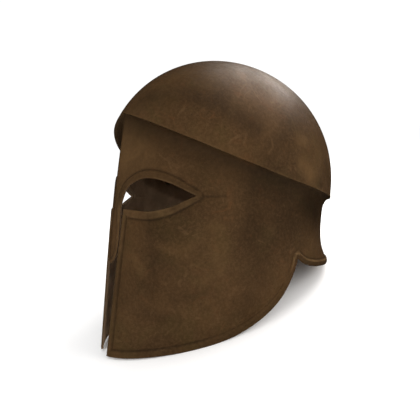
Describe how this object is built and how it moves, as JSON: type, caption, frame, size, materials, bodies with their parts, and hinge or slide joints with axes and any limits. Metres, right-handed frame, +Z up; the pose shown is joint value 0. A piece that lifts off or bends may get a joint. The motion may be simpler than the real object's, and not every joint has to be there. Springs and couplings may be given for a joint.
{
  "type": "corinthian helmet",
  "caption": "Close bronze helmet of the Corinthian form: domed skull, long cheek pieces, nose guard, almond eye holes and a flared neck guard, all beaten from one sheet.",
  "frame": {"origin": "bottom centre of the bounding box, on the surface the helmet stands on", "axes": "+Z up as the helmet stands, -Y the way its face looks, +X the wearer's left"},
  "size_m": [0.1972, 0.2984, 0.2423],
  "materials": {
    "bronze": "dull dark brown patina on beaten bronze, with lighter worn edges"
  },
  "bodies": {
    "root": {"helmet_shell": "bronze"}
  },
  "joints": []
}
